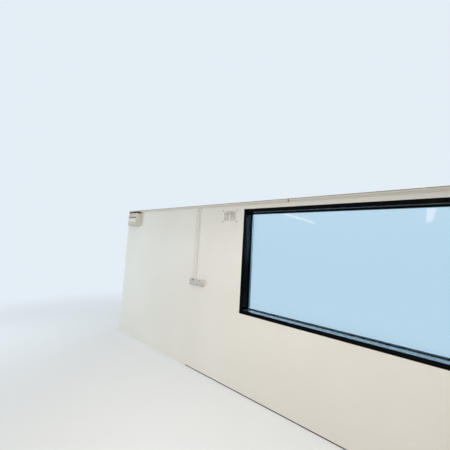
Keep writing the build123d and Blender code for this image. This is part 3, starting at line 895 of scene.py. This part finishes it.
# %% Vent: fly mesh
MESH_CELL = 0.0055
MESH_WIRE = 0.0007
MESH_IN = 0.0022
MESH_BACK = 0.004
mesh_w = vent_high.x - vent_low.x - 2 * MESH_IN
mesh_h = vent_high.z - vent_low.z - 2 * MESH_IN
wires = bmesh.new()
bmesh.ops.create_grid(
    wires,
    x_segments=round(mesh_w / MESH_CELL),
    y_segments=round(mesh_h / MESH_CELL),
    size=0.5,
    matrix=Matrix.Translation((vent_mid.x, vent_high.y - MESH_BACK, vent_mid.z))
    @ Matrix.Diagonal((mesh_w, 1.0, mesh_h, 1.0))
    @ Matrix.Rotation(math.pi / 2, 4, "X"),
)
bmesh.ops.wireframe(
    wires, faces=wires.faces, thickness=MESH_WIRE, use_replace=True, use_boundary=True
)
finished("vent_fly_mesh", wires, mesh_finish)

# %% [markdown]
# ## Sockets: screws, shutters and switch marks
#
# Each face plate is held by two slotted screws in line with its middle. The pin slots are
# already sunk in the plate, and behind them sit the dark shutters. The rockers are dark, the
# spots that show near the top of each plate from across the room: a cap over each, with
# rounded edges, in the gap that it turns in. Its upper end carries a red mark. All but the
# screws are blocks, so one helper makes a piece from pairs of corners.

# %% Blocks
def block(bm, corner, opposite, edge=0.0):
    """A block between two opposite corners, with rounded edges."""
    corner = Vector(corner)
    span = Vector(opposite) - corner
    size = Matrix.Diagonal((*(abs(side) for side in span), 1.0))
    matrix = Matrix.Translation(corner + span / 2) @ size
    made = bmesh.ops.create_cube(bm, size=1.0, matrix=matrix)["verts"]
    if edge:
        round_off(bm, edges_of(made), edge)


def blocks(name, corners, edge, material):
    """One piece made of blocks, from pairs of corners."""
    bm = bmesh.new()
    for corner, opposite in corners:
        block(bm, corner, opposite, edge)
    finished(name, bm, material)


# %% Sockets: screws, shutters and switch marks
SLOTTED_HEAD = (0.0035, 0.0012, 1)
ROCKER_RISE = 0.0025
ROCKER_Z = 0.026
SOCKET_SCREW_IN = 0.0127
SLOT_DEPTH = 0.0025
SHUTTER_T = 0.0004
CAP_HALF = Vector((0.0058, 0, 0.0088))
CAP_T = 0.0004
GAP_W = 0.0006
MARK_LOW = Vector((-0.0032, -0.0001, 0.0052))
MARK_SIZE = Vector((0.0064, 0.0003, 0.0013))
PLAY = 0.0001
EARTH_SLOT = (0.0, 0.008, 0.0044, 0.0084)
PIN_SLOTS = [(side * 0.011, -0.014, 0.0072, 0.0044) for side in (-1, 1)]
SOCKET_FACES = {
    "socket_left": {"outlets": (-0.036, 0.036), "rockers": (-0.009, 0.009)},
    "socket_right": {"outlets": (0.0,), "rockers": (-0.022,)},
}


def upright_frame(centre, half_w, half_h):
    """The corners of four thin bars that frame a rocker on a face that looks along -Y."""
    out_w = half_w + GAP_W
    out_h = half_h + GAP_W
    front = Vector((centre.x, centre.y - PLAY, centre.z))
    for side in (-1, 1):
        yield front + Vector((side * half_w, 0, -out_h)), centre + Vector((side * out_w, 0, out_h))
        yield front + Vector((-half_w, 0, side * half_h)), centre + Vector((half_w, 0, side * out_h))


def socket_details(name, outlets, rockers):
    """The screws, shutters, gaps and marks of one socket plate."""
    low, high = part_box(f"{name}_plate")
    middle = (low + high) / 2
    face = Vector((middle.x, low.y + ROCKER_RISE, middle.z))
    shutters, gaps, caps, marks = [], [], [], []
    for outlet in outlets:
        for slot_x, slot_z, width, height in (EARTH_SLOT, *PIN_SLOTS):
            centre = face + Vector((outlet + slot_x, SLOT_DEPTH, slot_z))
            half = Vector((width / 2 - PLAY, 0.0, height / 2 - PLAY))
            shutters.append((centre - half - Vector((0, SHUTTER_T, 0)), centre + half))
    for rocker_x in rockers:
        rocker = face + Vector((rocker_x, 0, ROCKER_Z))
        front = rocker + ROOMWARD * (ROCKER_RISE + CAP_T)
        caps.append((front - CAP_HALF, rocker + CAP_HALF))
        gaps.extend(upright_frame(rocker, CAP_HALF.x + PLAY, CAP_HALF.z + PLAY))
        marks.append((front + MARK_LOW, front + MARK_LOW + MARK_SIZE))
    ends = (low.x + SOCKET_SCREW_IN, high.x - SOCKET_SCREW_IN)
    screws(f"{name}_screws", [((x, face.y, face.z), ROOMWARD) for x in ends], *SLOTTED_HEAD)
    for part, corners, edge, colour in (
        ("shutters", shutters, 0.0, "shutter_grey"),
        ("rocker_gaps", gaps, 0.0, "shutter_grey"),
        ("rocker_caps", caps, 0.0009, "rocker_grey"),
        ("switch_marks", marks, 0.0001, "red_mark"),
    ):
        blocks(f"{name}_{part}", corners, edge, small[colour])


for name, layout in SOCKET_FACES.items():
    socket_details(name, **layout)

# %% [markdown]
# ## Consumer unit: screws, hinges and painted shade
#
# The cover is held by four cross-head screws near its corners. The flap is pulled open at the
# finger grip above it, so it turns on two short barrels at its foot. A dark strip in the grip's
# recess is painted shade. A black block on the unit's top fills the gap below the trim as painted
# shade: the darkest line on the unit. It is a row of soft ribs, each a block with a wide bevel.

# %% Consumer unit: screws, hinges and painted shade
UNIT_HEAD = (0.0040, 0.0016)
UNIT_SCREW_IN = Vector((0.020, 0, 0.016))
HINGE_IN = 0.022
HINGE_DROP = 0.0014
HINGE_HALF = (0.010, 0.0018, 0.0024)
GRIP_D = 0.009
GRIP_LOW = 0.0030
GRIP_HIGH = 0.0220
GRIP_IN = 0.004
STRIP_T = 0.0018
TOP_SHADE_IN = Vector((0.004, 0.006, 0))
TOP_SHADE_BACK = 0.0006
RIB_H = 0.0085
RIB_SHRINK = Vector((0.0012, 0.0012, 0))
RIBS = 3

flap_low, flap_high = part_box("consumer_unit_flap")
corners = corners_in((unit_low, unit_high), UNIT_SCREW_IN, unit_low.y)
screws("unit_screws", [(corner, ROOMWARD) for corner in corners], *UNIT_HEAD)

half_l, half_d, half_h = HINGE_HALF
barrels = []
for x in (flap_low.x + HINGE_IN, flap_high.x - HINGE_IN):
    y, z = unit_low.y, flap_low.z - HINGE_DROP
    barrels.append(((x - half_l, y, z), (x + half_l, y, z)))
rods("unit_hinges", barrels, half_h, half_d, white["flap"], "white_plastic", 16)

# A dark strip in the grip's recess: painted shade.
back = unit_low.y + GRIP_D
low = (flap_low.x + GRIP_IN, back - STRIP_T, flap_high.z + GRIP_LOW)
high = (flap_high.x - GRIP_IN, back, flap_high.z + GRIP_HIGH)
blocks("unit_grip_shade", [(low, high)], 0.0006, small["grip_shade_grey"])

# Black ribs over the unit's top: painted shade in the gap below the trim.
ribs = []
for number in range(RIBS):
    low = unit_low + TOP_SHADE_IN + RIB_SHRINK * number
    high = Vector((unit_high.x - TOP_SHADE_IN.x, trim_low.y - TOP_SHADE_BACK, 0)) - RIB_SHRINK * number
    low.z = unit_high.z + number * RIB_H
    high.z = low.z + RIB_H
    ribs.append((low, high))
blocks("unit_top_shade", ribs, 0.0022, rubber_finish)

# %% [markdown]
# ## Trim pins and joint clips
#
# The trim is pinned every 400 mm, and a few small pale clips span its upper band. Pins are
# flattened domes, clips are thin blocks, and the gap between the trim's two lengths holds dark
# blocks in two steps, like the trim: painted shade, so it reads as a line.

# %% Trim pins and joint clips
PIN_PITCH = 0.4
PIN_START = cap_low.x + 0.12
PIN_Z = trim_low.z + 0.029
PIN_HALF = (0.0028, 0.0007, 0.0028)
CLIP_PLACES = (-1.91, -1.37, -0.14, 0.38)
CLIP_HALF_W = 0.004
CLIP_T = 0.0006
JOINT_SHADE_IN = 0.0006
JOINT_SHADE_TOP = trim_high.z - 0.0005


def dome(bm, centre, half, columns, rows):
    """A flattened ball, half sunk in a face: a pin or a rivet."""
    matrix = Matrix.Translation(centre) @ Matrix.Diagonal((*half, 1.0))
    bmesh.ops.create_uvsphere(bm, u_segments=columns, v_segments=rows, radius=1.0, matrix=matrix)


pins = bmesh.new()
for number in range(int((trim_high.x - PIN_START) / PIN_PITCH) + 1):
    dome(pins, (PIN_START + number * PIN_PITCH, trim_low.y, PIN_Z), PIN_HALF, 12, 6)
finished("trim_pins", pins, trim_finish)

clips = []
for x in CLIP_PLACES:
    low = (x - CLIP_HALF_W, trim_low.y - CLIP_T, TRIM_STEP_Z)
    clips.append((low, (x + CLIP_HALF_W, trim_low.y, trim_high.z)))
blocks("trim_clips", clips, 0.0002, white["trunk"])

left_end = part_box("ceiling_trim_left")[1].x
step_y = (trim_low.y + trim_high.y) / 2
# Dark blocks in the gap between the trim's two lengths: painted shade.
joint_shade_blocks = [
    ((left_end, front + JOINT_SHADE_IN, low_z), (trim_low.x, trim_high.y, high_z))
    for front, low_z, high_z in (
        (step_y, trim_low.z, TRIM_STEP_Z),
        (trim_low.y, TRIM_STEP_Z, JOINT_SHADE_TOP),
    )
]
blocks("trim_joint_shade", joint_shade_blocks, 0.0, small["black_clip"])

# %% [markdown]
# ## Outside: capped screws, rivets and drain covers
#
# Outside, the panels are screwed to the base channel and through the head channel with
# self-drilling screws: a hexagon on a washer, under a cap of the wall's colour. The black
# angles round the window are riveted and sealed along their edges, the sill has a cap at each
# end, and the frame's drain slots have small covers. The screws are one cone with six sides on
# a flat washer, repeated along two lines.

# %% Outside: capped screws
SCREW_PITCH = 0.30
SCREW_ENDS = 0.15
SCREW_UP = 0.018
CAPPED_SCREW = ((0.0080, 0.0074, 0.0, 0.0014, 24), (0.0054, 0.0049, 0.0014, 0.0046, 6))


def evenly(length, pitch):
    """Places along a length, a pitch apart, measured from its middle."""
    count = int(length / pitch)
    return [(number - count / 2) * pitch for number in range(count + 1)]


capped = bmesh.new()
for y, z in ((outside_y, foot_z + SCREW_UP), (cap_high.y, (cap_low.z + cap_high.z) / 2)):
    for x in evenly(cap_high.x - cap_low.x - SCREW_ENDS, SCREW_PITCH):
        upright = Matrix.Translation((x, y, z)) @ Matrix.Rotation(-math.pi / 2, 4, "X")
        for sizes in CAPPED_SCREW:
            stub(capped, upright, *sizes)
finished("outside_screws", capped, coat_finish, 30.0)

# %% Outside: rivets and sealed edges of the angles
RIVET_ENDS = 0.1
RIVET_HALF = (0.0042, 0.0016, 0.0042)
ANGLE_FLANGE = 0.027
ANGLE_T = 0.0025
EDGE_BEAD_HALF = (0.0030, 0.0016)
EDGE_BEAD_OUT = 0.0003
angle_low, angle_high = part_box("outside_angle_head")
side_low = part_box("outside_angle_left")[0]
side_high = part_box("outside_angle_right")[1]
sill_low, sill_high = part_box("outside_sill")

rivets = bmesh.new()
half = ANGLE_FLANGE / 2
across = evenly(angle_high.x - angle_low.x - RIVET_ENDS, SCREW_PITCH)
places = [(x, angle_high.z - half) for x in across]
for up in evenly(side_high.z - side_low.z - RIVET_ENDS, SCREW_PITCH):
    places.extend((x, window_mid.z + up) for x in (side_low.x + half, side_high.x - half))
for x, z in places:
    dome(rivets, (x, outside_y + ANGLE_T, z), RIVET_HALF, 14, 8)
finished("angle_rivets", rivets, frame_finish)

y = outside_y + EDGE_BEAD_OUT
top = angle_high.z + EDGE_BEAD_HALF[0]
edges = [((x, y, sill_high.z), (x, y, top)) for x in (angle_low.x, angle_high.x)]
edges.append(((angle_low.x, y, angle_high.z), (angle_high.x, y, angle_high.z)))
rods("outside_beads", edges, *EDGE_BEAD_HALF, sealant_finish, "panel_skin")

# %% Outside: sill caps and drain covers
SILL_CAP_T = 0.0030
DRAIN_PITCH = 1.1
DRAIN_LOW = Vector((-0.0190, 0.0, 0.0215))
DRAIN_HIGH = Vector((0.0190, 0.0045, 0.0330))
bar_low, bar_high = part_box("window_frame_sill")

sill_ends = []
for x in (sill_low.x - SILL_CAP_T, sill_high.x):
    sill_ends.append(((x, outside_y, sill_low.z), (x + SILL_CAP_T, sill_high.y, sill_high.z)))
blocks("sill_caps", sill_ends, 0.0009, small["black_clip"])

hoods = []
for x in (-DRAIN_PITCH, 0.0, DRAIN_PITCH):
    place = Vector((x, bar_high.y, bar_low.z))
    hoods.append((place + DRAIN_LOW, place + DRAIN_HIGH))
blocks("drain_covers", hoods, 0.0016, small["black_clip"])

# %% [markdown]
# ## The gap at the foot
#
# The panels don't quite reach down: they stand on the channel, and grey plastic packers
# level them outside. In the room a black strip in the gap is painted shade and shows as a dark
# line, but the first bays on the left are filled with sealant, so the line starts at a joint.

# %% The gap at the foot
PACKER_FROM_JOINT = 0.14
PACKER_LOW = Vector((-0.018, -0.0115, 0.0002))
PACKER_HIGH = Vector((0.018, -0.004, foot_z - 0.0001))
FOOT_STRIP_IN = 0.0008
FOOT_STRIP_T = 0.0030
FOOT_STRIP_LOW = 0.0003
FOOT_BEAD_IN = 0.0021
FOOT_BEAD_HALF = (foot_z / 2 - 0.0001, 0.0020)
END_IN = 0.001
filled_end = JOINTS[1]

packers = []
for joint in JOINTS:
    for x in (joint - PACKER_FROM_JOINT, joint + PACKER_FROM_JOINT):
        place = Vector((x, outside_y, 0))
        packers.append((place + PACKER_LOW, place + PACKER_HIGH))
blocks("foot_packers", packers, 0.0004, small["packer_grey"])

# A black strip in the gap at the foot: painted shade.
y = room_y + FOOT_STRIP_IN
wall_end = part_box("panel_end_right")[1].x - END_IN
foot_shade_strip = ((filled_end, y, FOOT_STRIP_LOW), (wall_end, y + FOOT_STRIP_T, PACKER_HIGH.z))
blocks("foot_gap_shade", [foot_shade_strip], 0.0004, rubber_finish)

y = room_y + FOOT_BEAD_IN
wall_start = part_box("panel_end_left")[0].x + END_IN
bead = ((wall_start, y, foot_z / 2), (filled_end, y, foot_z / 2))
rods("foot_sealant", [bead], *FOOT_BEAD_HALF, sealant_finish, "panel_skin")

# %% [markdown]
# ## Stage: floor, backdrop and lamps
#
# The floor is plain and pale, keeps the wall's shadow, and fades to the backdrop's tone with
# distance, so its edge doesn't show through the glass. The backdrop is the world's colour for
# rays from the camera and through glass. Gloss meets it dimmed low down, so the upright faces
# of the frame stay black and only its sill mirrors the bright part. Other rays meet a dimmer
# grey that only fills the shadows, a little more from above and from the right. Two long thin
# lamps light the wall from above, with a soft one over them and one in the room. A cool lamp
# with a narrow spread stands on the left, and a wide cool one outside. The panes would mirror
# the thin lamps as plain white, so gloss sees a dim glowing strip near each of them instead.

# %% Floor and backdrop
BACKDROP = (0.78, 0.855, 0.915, 1.0)
FLOOR = (0.80, 0.795, 0.78, 1.0)
FILL = (1.0, 0.985, 0.96, 1.0)
FILL_LEVEL = 0.39
FILL_LEAN = (0.85, 0.0, 0.40)
GLOSS_LOW = 0.25
GLOSS_HEIGHT = 0.45
FLOOR_SIZE = 90.0
FLOOR_DROP = 0.0004
FLOOR_GLOW = 0.18
FADE_SCALES = (0.62, 1.0, 0.0)
FADE_START = 2.4
FADE_END = 5.2


def staged(name, bm, material):
    """An object of the stage, which isn't a piece of the wall."""
    thing = object_of(name, bm, material)
    return thing


def make_floor():
    """A pale floor whose colour fades into the backdrop far from the wall."""
    material, shader, place = new_finish("stage_floor")
    wire(shader, {"Base Color": FLOOR, "Roughness": 0.7})
    flat = stretched(place, FADE_SCALES)
    distance = add_node(flat.id_data, "VectorMath", {0: flat}, operation="LENGTH").outputs["Value"]
    far = remap(distance, FADE_START, FADE_END, FLOOR_GLOW, 1.0)
    level = remap(source(place, "LightPath", "Is Camera Ray"), 0.0, 1.0, GLOSS_LOW, 1.0)
    glow = add_node(place.id_data, "Emission", {"Color": BACKDROP, "Strength": level})
    show_mix(far, shader, glow)
    bm = bmesh.new()
    drop = Matrix.Translation((0, 0, -FLOOR_DROP))
    bmesh.ops.create_grid(bm, x_segments=1, y_segments=1, size=FLOOR_SIZE / 2, matrix=drop)
    staged("stage_floor", bm, material)


def make_backdrop():
    """The world: backdrop white where it is seen, a dimmer fill where it lights."""
    world = bpy.data.worlds.new("studio")
    bpy.context.scene.world = world
    world.use_nodes = True
    tree = world.node_tree
    way = add_node(tree, "TexCoord").outputs["Generated"]
    lean = add_node(tree, "VectorMath", {0: way, 1: FILL_LEAN}, operation="DOT_PRODUCT")
    leaning = maths("MULTIPLY_ADD", lean.outputs["Value"], FILL_LEVEL, FILL_LEVEL)
    fill = tree.nodes["Background"]
    wire(fill, {"Color": FILL, "Strength": leaning})
    rays = add_node(tree, "LightPath").outputs
    looked_at = maths("MAXIMUM", rays["Is Camera Ray"], rays["Is Transmission Ray"])
    mirrored = remap(axes(way)["Z"], 0.0, GLOSS_HEIGHT, GLOSS_LOW, 1.0)
    level = maths("MAXIMUM", mirrored, looked_at)
    seen = add_node(tree, "Background", {"Color": BACKDROP, "Strength": level})
    show_mix(maths("MAXIMUM", looked_at, rays["Is Glossy Ray"]), fill, seen)


make_floor()
make_backdrop()
print("floor", FLOOR_SIZE, "m, fades from", FADE_START, "to", FADE_END, "m")

# %% Lamps
WARM = (1.0, 0.957, 0.90)
PALE = (1.0, 0.985, 0.955)
COOL = (0.72, 0.88, 1.0)
DAYLIGHT = (0.62, 0.82, 1.0)
STRIP_Y = -1.45
STRIP_Z = 2.37
STRIP_W = 0.08
STRIP_L = 1.5
STRIP_TONE = (1.0, 0.70, 0.54, 1.0)
STRIP_GLINT = 3.3
STRIP_HALF = Vector((STRIP_W / 2, STRIP_L / 2, 0))
STRIP_UP = Vector((0, 0, 0.01))
LAMP_BACK = 0.25
LAMP_Y = STRIP_Y - LAMP_BACK


def area_lamp(name, place, aim, width, length, power, colour, in_gloss=False, spread=180.0):
    """A soft rectangular lamp that the camera doesn't see, nor gloss unless asked."""
    lamp = bpy.data.lights.new(name, "AREA")
    lamp.shape = "RECTANGLE"
    lamp.size = width
    lamp.size_y = length
    lamp.energy = power
    lamp.color = colour
    lamp.spread = math.radians(spread)
    holder = in_scene(name, lamp)
    holder.location = place
    holder.rotation_mode = "QUATERNION"
    holder.rotation_quaternion = (Vector(aim) - Vector(place)).to_track_quat("-Z", "Y")
    holder.visible_camera = False
    holder.visible_glossy = in_gloss


def mirrored_strip(name, x):
    """A dim glowing strip in a thin lamp's place, which only gloss sees."""
    material, _, place = new_finish(name)
    glow = add_node(place.id_data, "Emission", {"Color": STRIP_TONE, "Strength": STRIP_GLINT})
    wire(material.node_tree.nodes["Material Output"], {"Surface": glow.outputs[0]})
    middle = Vector((x, STRIP_Y, STRIP_Z))
    bm = bmesh.new()
    block(bm, middle - STRIP_HALF, middle + STRIP_HALF + STRIP_UP)
    strip = staged(name, bm, material)
    strip.visible_camera = False
    strip.visible_diffuse = False
    strip.visible_transmission = False
    strip.visible_shadow = False


for side, x, power in (("left", -1.35, 12.4), ("right", 0.46, 19.0)):
    place = (x, LAMP_Y, STRIP_Z)
    area_lamp(f"strip_lamp_{side}", place, (x, LAMP_Y, 0.0), STRIP_W, STRIP_L, power, WARM)
    mirrored_strip(f"mirrored_strip_{side}", x)
area_lamp(
    "cool_side_lamp", (-6.6, -3.3, 1.4), (-3.4, 0.0, 1.1), 1.8, 1.6, 37.5, COOL, spread=100.0
)
area_lamp("overhead_softbox", (-1.8, -2.2, 3.3), (-1.8, 0.0, 1.9), 6.5, 1.1, 24.0, PALE)
area_lamp("room_softbox", (-0.6, -4.6, 1.3), (-0.6, 0.0, 1.1), 4.0, 2.4, 30.0, WARM)
area_lamp("outside_softbox", (-1.0, 7.0, 3.2), (-1.0, 0.0, 1.6), 13.0, 4.0, 330.0, DAYLIGHT, True)
bpy.context.scene.view_settings.view_transform = "Standard"
print("lamps:", len(bpy.data.lights))
